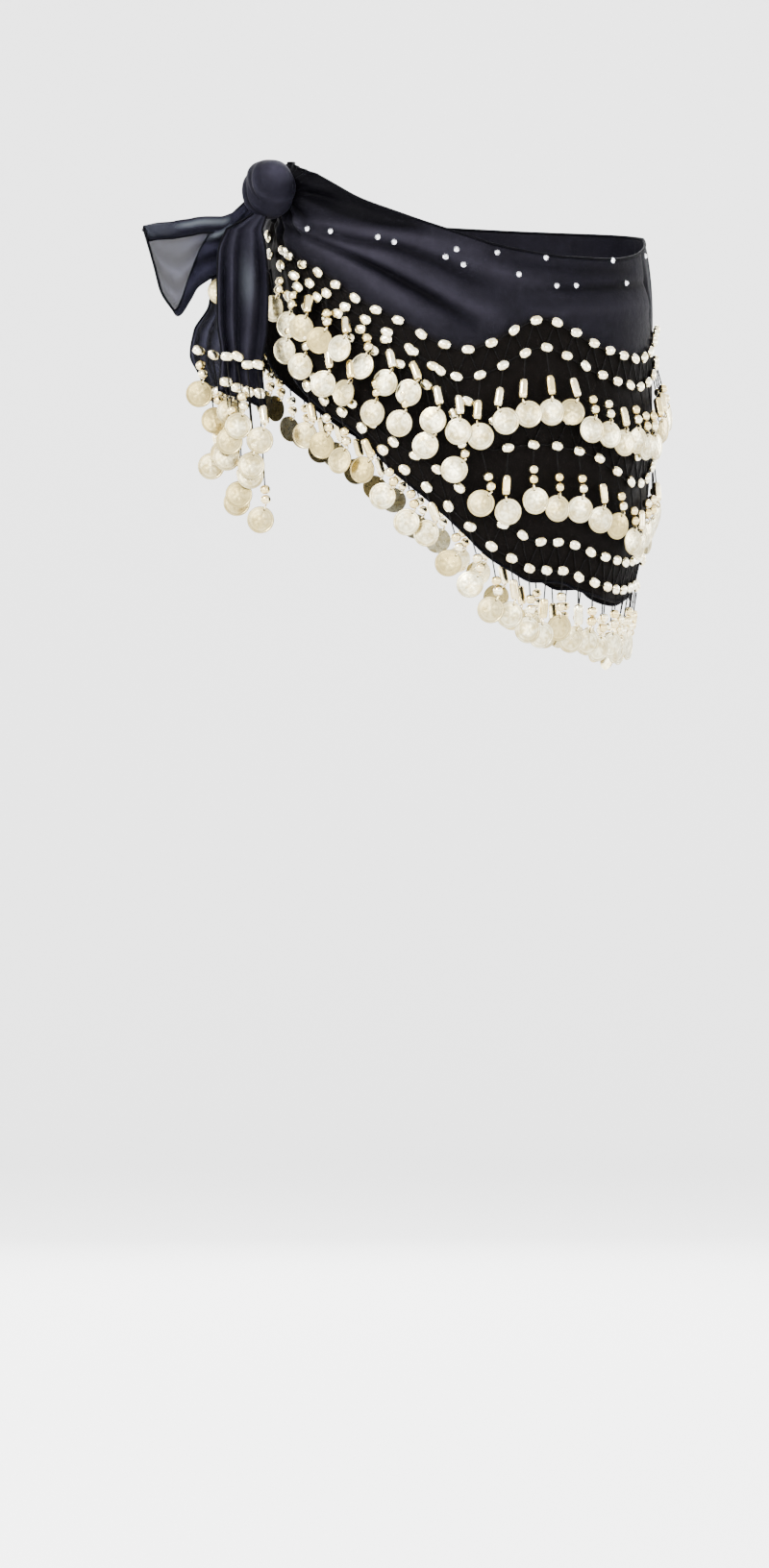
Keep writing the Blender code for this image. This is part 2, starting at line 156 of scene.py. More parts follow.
# How far the cloth is drawn up at the knot, how far round it, and the rays that run out from it
KNOT_FLARE = 9.0
KNOT_REACH = 27.0
KNOT_RAYS = 1.3
# Millimetres of cloth in a degree, on the whole and by the knot
DEGREE_LONG = 2.75
KNOT_DEGREE_LONG = 2.6
# How much darker the cloth's colour is close round the knot, in the strip under the top edge by
# the knot, towards the triangle's axis, and right beside the knot; by the knot it is painted shade
ROUND_KNOT_PAINTED_SHADE = 0.42
STRIP_PAINTED_SHADE = 0.48
AXIS_DARK = 0.16
BESIDE_KNOT_PAINTED_SHADE = 0.35
# Groove over the knot: its slant across, its place, half width and depth as shares of the knot
GROOVE_SLANT = (0.75, 0.66)
GROOVE_ASIDE = 0.10
GROOVE_WIDE = 0.22
GROOVE_DEEP = 0.13
# Rows of cloth from inside the knot to the first row of an end, and how deep inside they start
LEAVE_STEPS = 12
LEAVE_DEEP = 4.0
# Drops: coin's clearance, its hole's place as a share of its radius, ring above the hole, stem
# above the ring, and where the thread meets the row's bead, down and out
COIN_CLEAR = 0.6
HOLE_AT = 0.80
RING_ABOVE = 2.1
STEM_ABOVE = 2.2
THREAD_END = (4.5, 3.0)
# Length of the stem, share of drops with a tube bead, and sway of coins and row beads in
# degrees; then how far the rows' beads stand off the cloth, on the wraps and on the ends
STEM_LONG = 16.5
TUBE_SHARE = 0.42
COIN_SWAY = 14.0
BEAD_SWAY = 40.0
ROW_PROUD = 3.1
END_ROW_PROUD = 2.6
# Gold of the end drops' coins, as a share of the others' paleness
END_PALE = 0.45

# Folds of the bow end: share of its width, half width, how far forward, and the stretch of
# its length that the fold takes
BOW_FOLDS = (
    (0.06, 0.05, 2.6, 0.10, 1.00), (0.17, 0.05, -2.6, 0.05, 0.90), (0.30, 0.07, 3.0, 0.00, 0.62),
    (0.43, 0.05, -3.2, 0.10, 0.80), (0.56, 0.06, 3.4, 0.05, 1.00), (0.69, 0.05, -3.2, 0.00, 0.95),
    (0.81, 0.06, 3.2, 0.05, 0.85), (0.93, 0.04, -2.0, 0.10, 0.80),
)
# Width of the bow's folded edge, and where the bow leaves the knot: turn, tilt, and how much
# further the tilt goes down to the lower edge
BOW_FOLD_WIDE = 12.5
BOW_LEAVES = (128.0, -22.0, -36.0)

# Crystal studs on the band: angle, height
STUDS = (
    (-54, -14), (-45, -17), (-29, -23), (-24, -27), (-9, -39), (-6, -33), (-4, -45), (6, -35),
    (12, -52), (21, -38), (24, -60), (31, -59), (47, -37), (54, -54), (74, -29),
    (92, -40), (101, -26), (112, -54), (121, -20), (133, -42), (141, -66), (152, -24),
    (160, -50), (171, -16), (182, -44), (190, -70), (199, -22), (209, -12), (217, -46),
    (228, -6), (236, -30), (247, 8), (256, -16), (265, 20),
)


# Shapes of the solids

def smooth(rows, x, column):
    """Value of a table's column at x, on a curve through its rows with no overshoot."""
    x = min(max(x, rows[0][0]), rows[-1][0])
    index = next(i for i in range(len(rows) - 1) if x <= rows[i + 1][0])

    def secant(i):
        return (rows[i + 1][column] - rows[i][column]) / (rows[i + 1][0] - rows[i][0])

    def tangent(i):
        before, after = secant(max(0, i - 1)), secant(min(i, len(rows) - 2))
        return 2.0 * before * after / (before + after) if before * after > 0.0 else 0.0

    step = rows[index + 1][0] - rows[index][0]
    t = (x - rows[index][0]) / step
    start, end = rows[index][column], rows[index + 1][column]
    return (
        (1 + 2 * t) * (1 - t) ** 2 * start
        + t * (1 - t) ** 2 * step * tangent(index)
        + t * t * (3 - 2 * t) * end
        - t * t * (1 - t) * step * tangent(index + 1)
    )


def ease(low, high, x):
    """0 below low, 1 above high, smooth between; x is a number or an array."""
    t = np.clip((x - low) / (high - low), 0.0, 1.0)
    return t * t * (3.0 - 2.0 * t)


def hump(x, middle, half_width):
    """1 at the middle, and falling away smoothly to both sides."""
    return np.exp(-((x - middle) / half_width) ** 2)


def front_equal(angle):
    """The front half's angle that has the same bead lines."""
    return angle if angle <= POINT_ANGLE else smooth(BACK_EQUAL, angle, 1)


def top_edge(angle):
    return smooth(FRONT_LINES if angle <= POINT_ANGLE else BACK_TOP, angle, 1)


def tier_line(column, angle):
    return smooth(FRONT_LINES, front_equal(angle), column)


def pair_line(column, angle):
    """Height of a tier's upper bead line."""
    spread = float(ease(*PAIR_SPREAD, front_equal(angle)))
    return tier_line(column, angle) + KNOT_PAIR_RISE + (PAIR_RISE - KNOT_PAIR_RISE) * spread


def hem(angle):
    return tier_line(4, angle) - HEM_BELOW


HIP_HEIGHTS = np.arange(-380.0, 90.0, 1.0)
HIP_WIDTHS = np.array([smooth(HIPS, height, 1) for height in HIP_HEIGHTS])
HIP_DEPTHS = np.array([smooth(HIPS, height, 2) for height in HIP_HEIGHTS])


def unit(vectors):
    """Arrays of vectors at length 1."""
    return vectors / np.maximum(np.linalg.norm(vectors, axis=-1, keepdims=True), 1e-12)


def hip_points(angles, heights, outs):
    """Places on the figure, moved out along its normal, for arrays in degrees and millimetres."""
    angles, heights, outs = np.broadcast_arrays(angles, heights, outs)
    turn = np.radians(angles)
    half_width = np.interp(heights, HIP_HEIGHTS, HIP_WIDTHS)
    half_depth = np.interp(heights, HIP_HEIGHTS, HIP_DEPTHS)
    sine, cosine = np.sin(turn), np.cos(turn)
    normal = unit(np.stack((sine / half_width, -cosine / half_depth, 0.0 * sine), axis=-1))
    place = np.stack((half_width * sine, -half_depth * cosine, heights), axis=-1)
    grown = 1.0 - ease(DRAPE_TO, DRAPE_FROM, heights)
    fold = DRAPE_PROUD * grown * np.sin(DRAPE_COUNT * turn + DRAPE_START)
    return (place + normal * (outs + fold)[..., None]) * MM


def hip_point(angle, height, out):
    return Vector(hip_points(angle, height, out))


# Relief of the cloth

EDGE_ANGLES = np.arange(KNOT_ANGLE, BACK_END_ANGLE + 0.25, 0.25)
EDGE_HEIGHTS = [
    np.array([line(angle) for angle in EDGE_ANGLES])
    for line in (top_edge, lambda angle: pair_line(2, angle), hem, front_equal)
]


def band_edges(angles):
    """Top edge, first bead line, hem and the front's equal angle for an array of angles."""
    return [np.interp(angles, EDGE_ANGLES, heights) for heights in EDGE_HEIGHTS]


def crease_line(spots):
    """Many places along a crease: share of its length, angle and height."""
    rows = [(i, *spot) for i, spot in enumerate(spots)]
    last = len(spots) - 1
    steps = np.linspace(0, last, 30 * len(spots))
    return np.array([(x / last, smooth(rows, x, 1), smooth(rows, x, 2)) for x in steps]).T


CREASE_LINES = [(half_width, proud, crease_line(spots)) for half_width, proud, spots in CREASES]


def crease(angles, heights, half_width, proud, line):
    """Height of one crease at each place: a soft ridge along its line that fades at its ends."""
    shares, line_angle, line_height = line
    near = (
        (angles > line_angle.min() - 12) & (angles < line_angle.max() + 12)
        & (heights > line_height.min() - 30) & (heights < line_height.max() + 30)
    )
    raised = np.zeros_like(angles)
    if near.any():
        aside = (angles[near][:, None] - line_angle) * DEGREE_LONG
        gap = np.hypot(aside, heights[near][:, None] - line_height)
        along = shares[gap.argmin(axis=1)]
        fade = np.sin(np.pi * along) ** 0.55
        width = half_width * (0.7 + 0.6 * along)
        raised[near] = CREASE_GAIN * proud * fade * hump(gap.min(axis=1), 0.0, width)
    return raised


def from_knot(angles):
    """Degrees round the hips from the knot, less than 0 behind it."""
    return np.where(angles > 180.0, angles - 360.0, angles) - KNOT_AT[0]


def round_knot(angles, heights):
    """Distance from the knot's middle in millimetres, and the direction in radians."""
    aside, rise = from_knot(angles) * KNOT_DEGREE_LONG, heights - KNOT_AT[1]
    return np.hypot(aside, rise), np.arctan2(rise, aside)


def folds(angles, heights):
    """Creases alone, which also shade the cloth."""
    out = sum(crease(angles, heights, *line) for line in CREASE_LINES)
    gap, way = round_knot(angles, heights)
    rays = np.sin(13.0 * way + 0.6) + 0.6 * np.sin(22.0 * way + 2.0)
    return out + KNOT_RAYS * rays * hump(gap, 30.0, 22.0)


def relief(angles, heights):
    """How far the cloth stands off the figure, from gathers, creases and the pull of the knot."""
    top, band_end, lowest, equal = band_edges(angles)
    row = np.clip(BAND_ROWS * (top - heights) / (top - band_end), 0.0, BAND_ROWS)
    fade = 1.0 - ease(*GATHER_FADE, equal)
    ends = ease(0.0, 1.0, row) * ease(0.0, 1.0, BAND_ROWS - row)
    out = 0.45 * GATHER_PROUD * fade * ends * (0.4 - 0.7 * np.cos(np.pi * row))
    out = out + folds(angles, heights)
    out = out + KNOT_FLARE * hump(round_knot(angles, heights)[0], 0.0, KNOT_REACH)
    flutter = np.sin(np.radians(angles * 11.0)) + 0.6 * np.sin(np.radians(angles * 17.0 + 50.0))
    return out + HEM_FLUTTER * flutter * np.exp(-np.maximum(heights - lowest, 0.0) / 22.0)


# Half the place that a bead and a stud take on the cloth: degrees and millimetres
BEAD_PLACE = (1.6, 4.0)
STUD_PLACE = (0.9, 2.3)


def relief_under(angle, height, place):
    """Highest relief under a small part, on which it lies without poking through."""
    aside, rise = np.meshgrid(np.linspace(-1.0, 1.0, 5), np.linspace(-1.0, 1.0, 5))
    return float(relief(angle + place[0] * aside, height + place[1] * rise).max())


# Mesh helpers

def new_piece(name, verts, faces, material, floats=None, smooth_angle=None):
    mesh = bpy.data.meshes.new(name)
    mesh.from_pydata([tuple(v) for v in verts], [], faces)
    mesh.validate()
    for key, values in (floats or {}).items():
        attribute = mesh.attributes.new(key, "FLOAT", "POINT")
        attribute.data.foreach_set("value", np.asarray(values, "f"))
    mesh.shade_smooth()
    if smooth_angle is not None:
        mesh.set_sharp_from_angle(angle=math.radians(smooth_angle))
    mesh.materials.append(material)
    piece = bpy.data.objects.new(name, mesh)
    bpy.context.collection.objects.link(piece)
    return piece


def grid_faces(columns, rows, offset=0):
    """Quads of a grid whose vertices run along the rows first."""
    return [
        (offset + i * rows + j, offset + (i + 1) * rows + j,
         offset + (i + 1) * rows + j + 1, offset + i * rows + j + 1)
        for i in range(columns - 1) for j in range(rows - 1)
    ]


def ring_faces(rings, segments, first=0, closed=False):
    """Quads between closed rings of vertices; closed joins the last ring to the first too."""
    faces = []
    for i in range(rings if closed else rings - 1):
        low, high = first + i * segments, first + (i + 1) % rings * segments
        for k in range(segments):
            after = (k + 1) % segments
            faces.append((low + k, low + after, high + after, high + k))
    return faces


def shell(name, grid, thickness, material, floats):
    """Closed thin shell about a grid of places."""
    columns, rows = grid.shape[:2]
    normals = unit(np.cross(np.gradient(grid, axis=0), np.gradient(grid, axis=1)))
    layers = [grid + normals * side * thickness * MM for side in (0.5, -0.5)]
    verts = np.concatenate([layer.reshape(-1, 3) for layer in layers])
    count = columns * rows
    faces = grid_faces(columns, rows)
    faces += [tuple(reversed(face)) for face in grid_faces(columns, rows, count)]
    rim = [i * rows for i in range(columns)]
    rim += [(columns - 1) * rows + j for j in range(1, rows)]
    rim += [i * rows + rows - 1 for i in range(columns - 2, -1, -1)]
    rim += range(rows - 2, 0, -1)
    faces += [(a, a + count, b + count, b) for a, b in zip(rim, rim[1:] + rim[:1])]
    doubled = {key: np.tile(np.ravel(values), 2) for key, values in floats.items()}
    return new_piece(name, verts, faces, material, doubled)


class Batch:
    """Collects many small shapes into one mesh."""

    def __init__(self):
        self.verts, self.faces, self.tints, self.hollows, self.count = [], [], [], [], 0

    def add(self, verts, faces, tint=0.5, hollow=None):
        self.verts.append(np.asarray(verts))
        self.hollows.append(np.zeros(len(verts)) if hollow is None else hollow)
        self.faces += [tuple(self.count + k for k in face) for face in faces]
        self.tints.append(np.full(len(verts), tint))
        self.count += len(verts)

    def stamp(self, template, matrix, tint=0.5):
        verts, faces, *hollow = template
        turned = verts @ np.array(matrix.to_3x3()).T + np.array(matrix.translation)
        self.add(turned, faces, tint, *hollow)

    def piece(self, name, material, smooth_angle=None):
        floats = {"tint": np.concatenate(self.tints), "hollow": np.concatenate(self.hollows)}
        verts = np.concatenate(self.verts)
        return new_piece(name, verts, self.faces, material, floats, smooth_angle)


def tube(batch, places, radius, sides=6):
    """Round tube along places in metres, with a radius in millimetres."""
    places = np.asarray(places, float)
    heading = unit(np.gradient(places, axis=0))
    guide = np.array((0.13, 0.29, 1.0)) if abs(heading[0][2]) < 0.8 else np.array((1.0, 0.2, 0.1))
    side = unit(np.cross(heading, guide))
    lift = np.cross(side, heading)
    turns = (np.arange(sides) * 2 * math.pi / sides)[None, :, None]
    spokes = side[:, None, :] * np.cos(turns) + lift[:, None, :] * np.sin(turns)
    rings = places[:, None, :] + radius * MM * spokes
    faces = ring_faces(len(places), sides)
    faces.append(tuple(reversed(range(sides))))
    faces.append(tuple((len(places) - 1) * sides + k for k in range(sides)))
    batch.add(rings.reshape(-1, 3), faces)


def hem_piece(name, edges):
    """Rolled hem: tubes along edges, each with its radius and sides."""
    batch = Batch()
    for places, radius, sides in edges:
        tube(batch, places, radius, sides)
    return batch.piece(f"{name}_hem", HEM_CLOTH)


def shares_of(count):
    """Even shares from 0 to 1."""
    return np.arange(count) / (count - 1)


def scatter(seed):
    """Steady number from 0 to 1 for a seed."""
    return math.modf(abs(math.sin(seed * 12.9898 + 4.1414) * 43758.5453))[0]


# Templates of the small parts, in metres

def ring_verts(profile, segments, squeeze=1.0):
    """Circles about Z, one for each radius and height."""
    turns = 2 * math.pi * np.arange(segments) / segments
    around = list(zip(np.cos(turns), np.sin(turns)))
    return [(r * x, r * y * squeeze, height) for r, height in profile for x, y in around]


def turned_template(profile, segments, squeeze=1.0):
    """Round body about Z from (radius, height) in millimetres, closed at both ends on the axis."""
    foot, *body, tip = profile
    verts = [(0.0, 0.0, foot[1]), *ring_verts(body, segments, squeeze), (0.0, 0.0, tip[1])]
    last = len(verts) - 1
    top = last - segments
    faces = ring_faces(len(body), segments, 1)
    for k in range(segments):
        after = (k + 1) % segments
        faces += [(0, 1 + after, 1 + k), (last, top + k, top + after)]
    return np.array(verts) * MM, faces


def barrel(width, tall, deep, bulge=2.6, rings=9):
    """Rounded bead, a little square, with a dimple at each end for its thread."""
    profile = [(0.0, -tall / 2 + 0.5)]
    for i in range(rings):
        t = -1.0 + 2.0 * (i + 0.5) / rings
        radius = (1.0 - abs(t) ** bulge) ** (1.0 / 2.2)
        profile.append((width / 2 * radius, tall / 2 * t))
    profile.append((0.0, tall / 2 - 0.5))
    return turned_template(profile, 14, deep / width)


def ring_template(radius, wire, segments=16, sides=6):
    """Ring that lies in the X-Z plane."""
    verts = []
    for i in range(segments):
        turn = 2 * math.pi * i / segments
        for k in range(sides):
            roll = 2 * math.pi * k / sides
            reach = radius + wire * math.cos(roll)
            verts.append((reach * math.cos(turn), wire * math.sin(roll), reach * math.sin(turn)))
    return np.array(verts) * MM, ring_faces(segments, sides, closed=True)


# Coin: height of its face off its middle, bevel and hollow back in millimetres, and rings as shares
COIN_FACE = 0.5
COIN_BEVEL = 0.30
COIN_DISH = 0.35
COIN_FACE_RINGS = (
    0.07, 0.15, 0.25, 0.34, 0.42, 0.50, 0.60, 0.70, 0.76, 0.82, 0.87, 0.91, 0.97, 1.0,
)
COIN_BACK_RINGS = (1.0, 0.93, 0.5)


def coin_height(share, turn):
    """Stamped relief of a coin: raised rim, ring of dots, rosette and boss, in millimetres."""
    rim = 0.36 * ease(0.86, 0.91, share)
    dots = 0.12 * max(0.0, math.cos(12 * turn)) * hump(share, 0.76, 0.055)
    petal = 0.16 * abs(math.cos(3 * turn)) ** 1.5 * hump(share, 0.42, 0.15)
    boss = 0.18 * hump(share, 0.0, 0.12)
    dome = 1.1 * (1.0 - share * share)
    return rim + dots + petal + boss + dome


def coin_hollow(share, turn):
    """How far a place lies in the relief's hollows and at the rim's edge, where the gold is
    darker: 0 to 1. In the hollows it is partly tarnish and partly painted shade; at the edge,
    painted shade.
    """
    groove = 0.75 * hump(share, 0.84, 0.04)
    field = 0.45 * hump(share, 0.63, 0.07)
    between = 0.6 * (1.0 - abs(math.cos(3 * turn))) * hump(share, 0.42, 0.15)
    return min(1.0, groove + field + between + 0.85 * ease(0.92, 1.0, share))


def coin_template(segments=48):
    """Stamped coin that stands in the X-Z plane and faces -Y."""
    turns = [2 * math.pi * k / segments for k in range(segments)]
    verts = [(0.0, -COIN_FACE - coin_height(0.0, 0.0), 0.0)]
    hollow = [0.0]

    def ring(share, heights):
        reach = COIN_RADIUS * share
        for turn, height in zip(turns, heights):
            verts.append((reach * math.cos(turn), -height, reach * math.sin(turn)))

    for share in COIN_FACE_RINGS:
        face = COIN_FACE - (COIN_BEVEL if share == 1.0 else 0.0)
        ring(share, [face + coin_height(share, turn) for turn in turns])
        hollow += [coin_hollow(share, turn) for turn in turns]
    for share in COIN_BACK_RINGS:
        ring(share, [COIN_DISH * (1.0 - share) - 0.1] * segments)
    verts.append((0.0, -0.1, 0.0))
    hollow += [0.3] * (len(verts) - len(hollow))
    rings = len(COIN_FACE_RINGS) + len(COIN_BACK_RINGS)
    faces = [(a, d, c, b) for a, b, c, d in ring_faces(rings, segments, 1)]
    back, last = 1 + (rings - 1) * segments, len(verts) - 1
    for k in range(segments):
        after = (k + 1) % segments
        faces += [(0, 1 + k, 1 + after), (last, back + after, back + k)]
    return np.array(verts) * MM, faces, np.array(hollow)


ROW_BEAD = barrel(7.9, 10.6, 5.6)
STEM_BEAD = barrel(8.0, 7.6, 7.6, bulge=2.2)
TUBE_BEAD = barrel(7.4, 16.5, 7.0, bulge=7.0, rings=11)
RING = ring_template(2.3, 0.55)
COIN = coin_template()
HOLE = turned_template([(0.0, -0.1), (0.95, -0.1), (0.95, 0.1), (0.0, 0.1)], 10)
STUD = turned_template(
    [(0.0, 0.0), (2.3, 0.0), (2.3, 0.35), (1.95, 0.7), (1.15, 1.7), (0.0, 1.75)], 8,
)


# Materials

def shader_of(material):
    return material.node_tree.nodes["Principled BSDF"]


def link(material, source, target):
    material.node_tree.links.new(source, target)


def node(material, kind, **values):
    made = material.node_tree.nodes.new(kind)
    for key, value in values.items():
        if hasattr(made, key):
            setattr(made, key, value)
        else:
            made.inputs[key].default_value = value
    return made


def base_material(name, colour, roughness, metallic=0.0, **sockets):
    material = bpy.data.materials.new(name)
    material.use_nodes = True
    shader = shader_of(material)
    shader.inputs["Base Color"].default_value = (*colour, 1.0)
    shader.inputs["Roughness"].default_value = roughness
    shader.inputs["Metallic"].default_value = metallic
    for key, value in sockets.items():
        shader.inputs[key.replace("_", " ")].default_value = value
    return material


def colour_ramp(material, factor, stops):
    ramp = node(material, "ShaderNodeValToRGB")
    while len(ramp.color_ramp.elements) < len(stops):
        ramp.color_ramp.elements.new(0.5)
    for element, (position, colour) in zip(ramp.color_ramp.elements, stops):
        element.position = position
        element.color = (*colour, 1.0)
    link(material, factor, ramp.inputs["Fac"])
    return ramp.outputs["Color"]


def feed(material, name, source):
    """Links a source to an input of the material's shader."""
    link(material, source, shader_of(material).inputs[name])


def texture(material, kind, **values):
    """Factor of a texture in the object's own coordinates."""
    made = node(material, kind, **values)
    coords = node(material, "ShaderNodeTexCoord").outputs["Object"]
    link(material, coords, made.inputs["Vector"])
    return made.outputs["Fac"]


def noise(material, scale, detail, roughness=0.5, **values):
    return texture(
        material, "ShaderNodeTexNoise", Scale=scale, Detail=detail, Roughness=roughness, **values,
    )


def bump(material, height, strength, distance, under=None):
    """Normal bent by a height, over the one of a bump that lies under it."""
    made = node(material, "ShaderNodeBump", Strength=strength, Distance=distance)
    link(material, height, made.inputs["Height"])
    if under is not None:
        link(material, under, made.inputs["Normal"])
    return made.outputs["Normal"]


def ranged(material, value, low, high):
    """A value from 0 to 1 brought between low and high."""
    made = node(material, "ShaderNodeMapRange", **{"To Min": low, "To Max": high})
    link(material, value, made.inputs["Value"])
    return made.outputs["Result"]


def attribute_factor(material, name):
    return node(material, "ShaderNodeAttribute", attribute_name=name).outputs["Fac"]


def blend_colour(material, factor, first, second, blend="MIX"):
    """Mix of two colours, each a node's output or, like the factor, a constant."""
    mix = node(material, "ShaderNodeMix", data_type="RGBA", blend_type=blend)
    for socket, value in ((0, factor), (6, first), (7, second)):
        if isinstance(value, float):
            mix.inputs[socket].default_value = value
        elif isinstance(value, tuple):
            mix.inputs[socket].default_value = (*value, 1.0)
        else:
            link(material, value, mix.inputs[socket])
    return mix.outputs[2]


# Share of the plain colour that a fold's value keeps, from a trough to a crest
FOLD_SHADES = (
    (0.10, (0.10, 0.10, 0.11)), (0.38, (0.36, 0.36, 0.38)),
    (0.52, (0.50, 0.50, 0.50)), (0.85, (1.0, 1.0, 0.97)),
)
GATHERED_ALPHA = 0.97


def chiffon_material(name, plain, shaded, beaded=None, shine=None, alpha=None, fold_shaded=True):
    """Crepe chiffon: a fine grain, a soft crinkle and a mottled navy black.

    Its colour holds painted shade and highlight: darker in the troughs of the folds and round
    the knot, paler on the crests. Between the beads it takes another colour, and painted
    highlight streaks pale it. A sheer one hides more where it is gathered.
    """
    material = base_material(
        name, plain, 0.65, Sheen_Weight=0.005, Sheen_Roughness=0.35,
        Sheen_Tint=(0.55, 0.58, 0.85, 1.0), Specular_IOR_Level=0.02,
    )
    mottle = noise(material, 42.0, 4.0, 0.6)
    colour = colour_ramp(material, mottle, ((0.32, shaded), (0.70, plain)))
    # Painted shade and highlight of the folds, from the fold attribute
    if fold_shaded:
        shade = colour_ramp(material, attribute_factor(material, "fold"), FOLD_SHADES)
        colour = blend_colour(material, 1.0, colour, shade, "MULTIPLY")
    # Beaded ground's colour, then the painted highlight streaks of the shine attribute
    for attribute, other in (("beaded", beaded), ("shine", shine)):
        if other is not None:
            colour = blend_colour(material, attribute_factor(material, attribute), colour, other)
    feed(material, "Base Color", colour)
    crepe = bump(material, noise(material, 1100.0, 3.0, 0.7), 0.35, 0.0004)
    crinkle = noise(material, 150.0, 3.0, 0.55)
    feed(material, "Normal", bump(material, crinkle, 0.5, 0.0012, crepe))
    feed(material, "Roughness", ranged(material, mottle, 0.55, 0.75))
    if alpha is not None:
        gathered = attribute_factor(material, "gathered")
        feed(material, "Alpha", ranged(material, gathered, alpha, GATHERED_ALPHA))
    return material


def gold_material(name, pale, deep, roughness, patches):
    """Bright plating that varies from piece to piece, with deep patches and wear, and darker
    hollows, edges and backs of the coins, partly tarnish and partly painted shade.
    """
    material = base_material(name, pale, roughness, 1.0)
    tint = attribute_factor(material, "tint")
    colour = colour_ramp(material, tint, ((0.0, deep), (0.55, pale), (1.0, pale)))
    patch = noise(material, patches, 3.0, 0.55, Distortion=0.6)
    worn = colour_ramp(material, patch, ((0.42, (0.0,) * 3), (0.62, (0.75,) * 3)))
    colour = blend_colour(material, worn, colour, deep)
    # Partly tarnish, partly painted shade: darker gold in the coins' hollows, at their edges and
    # backs
    hollow = attribute_factor(material, "hollow")
    colour = blend_colour(material, hollow, colour, tuple(0.5 * x for x in deep))
    feed(material, "Base Color", colour)
    wear = noise(material, 520.0, 5.0, 0.65)
    feed(material, "Roughness", ranged(material, wear, roughness - 0.06, roughness + 0.14))
    feed(material, "Normal", bump(material, wear, 0.25, 0.0002))
    return material


def speckle(material, scale, stops):
    """Gives a material a base colour that varies a little from place to place."""
    feed(material, "Base Color", colour_ramp(material, noise(material, scale, 2.0), stops))


# Colour of the painted highlight streaks and spots
SHINE = (0.055, 0.062, 0.070)
CHIFFON = chiffon_material(
    "chiffon_navy", (0.0098, 0.0091, 0.0135), (0.0064, 0.0060, 0.0088),
    beaded=(0.0017, 0.0013, 0.0011),
)
KNOT_CLOTH = chiffon_material(
    "chiffon_gathered", (0.0135, 0.0128, 0.0200), (0.0088, 0.0084, 0.0130), shine=SHINE,
)
SHEER = chiffon_material(
    "chiffon_sheer", (0.021, 0.021, 0.036), (0.013, 0.013, 0.023), shine=SHINE, alpha=0.78,
)
HEM_CLOTH = chiffon_material(
    "chiffon_rolled_hem", (0.0012, 0.0012, 0.0020), (0.0007, 0.0007, 0.0011), fold_shaded=False,
)
COIN_GOLD = gold_material("coin_plating", (0.76, 0.71, 0.49), (0.40, 0.31, 0.12), 0.25, 130.0)
BEAD_GOLD = gold_material("bead_plating", (0.89, 0.85, 0.66), (0.60, 0.47, 0.20), 0.16, 210.0)
THREAD = base_material("thread_black", (0.0012, 0.0010, 0.0010), 0.7, Specular_IOR_Level=0.06)
TWIST = texture(THREAD, "ShaderNodeTexWave", Scale=600.0, Distortion=1.5)
feed(THREAD, "Normal", bump(THREAD, TWIST, 0.6, 0.0002))
CRYSTAL = base_material(
    "crystal_foil", (0.93, 0.94, 0.97), 0.08, 0.85, Coat_Weight=1.0, Coat_Roughness=0.02,
)
speckle(CRYSTAL, 900.0, ((0.3, (0.80, 0.83, 0.90)), (0.6, (0.97, 0.97, 1.0))))


# The scarf's cloth, one sheet wound from the knot round to the knot

def scarf(name, first, last, columns, rows):
    angles = np.linspace(first, last, columns)[:, None] * np.ones(rows)
    top, band_end, lowest, equal = band_edges(angles)
    heights = top + (lowest - top) * np.linspace(0.0, 1.0, rows)
    grid = hip_points(angles, heights, relief(angles, heights))
    aside = from_knot(angles)
    # Painted shade: the fold value darkens the creases' troughs, the cloth round the knot, the
    # strip under the top edge by the knot and the cloth right beside it, and pales the crests
    gathered = hump(np.hypot(aside * 2.2, heights - KNOT_AT[1]), 0.0, 42.0)
    fold = 0.5 + folds(angles, heights) / 9.0 - ROUND_KNOT_PAINTED_SHADE * gathered
    strip = (1.0 - ease(-50.0, -5.0, equal)) * hump(top - heights, 6.0, 15.0)
    fold = fold - STRIP_PAINTED_SHADE * strip - AXIS_DARK * ease(22.0, 50.0, equal)
    fold = fold - BESIDE_KNOT_PAINTED_SHADE * hump(aside, -9.0, 6.0)
    beaded = ease(-3.0, 6.0, band_end + 4.0 - heights)
    looks = {"beaded": beaded, "fold": np.clip(fold, 0.0, 1.0)}
    edges = ((grid[:, 0], 1.15, 8), (grid[:, -1], 1.15, 8))
    return shell(name, grid, 0.5, CHIFFON, looks), hem_piece(name, edges)


# The knot and the ends that leave it

def knot_frame():
    angle, height, out = KNOT_AT
    centre = hip_point(angle, height, out)
    outward = (centre - hip_point(angle, height, 0.0)).normalized()
    return centre, UP.cross(outward), outward


def knot_way(tilt, turn):
    """Direction from the knot's middle, as shares aside, up and out, by its angles in degrees."""
    tilt, turn = math.radians(tilt), math.radians(turn)
    return math.cos(tilt) * math.cos(turn), math.sin(tilt), math.cos(tilt) * math.sin(turn)


def off_groove(side, rise):
    return GROOVE_SLANT[0] * side + GROOVE_SLANT[1] * rise + GROOVE_ASIDE


def knot_place(tilt, turn, gap):
    """Place on the knot by its angles of rise and turn, in degrees, with its slanting groove."""
    centre, across, outward = knot_frame()
    side, rise, depth = knot_way(tilt, turn)
    groove = hump(off_groove(side, rise), 0.0, GROOVE_WIDE)
    scale = 1.0 - GROOVE_DEEP * groove * max(0.0, depth)
    wide, tall, deep = [float(half * scale + gap) * MM for half in KNOT_HALF]
    return centre + across * side * wide + UP * rise * tall + outward * depth * deep


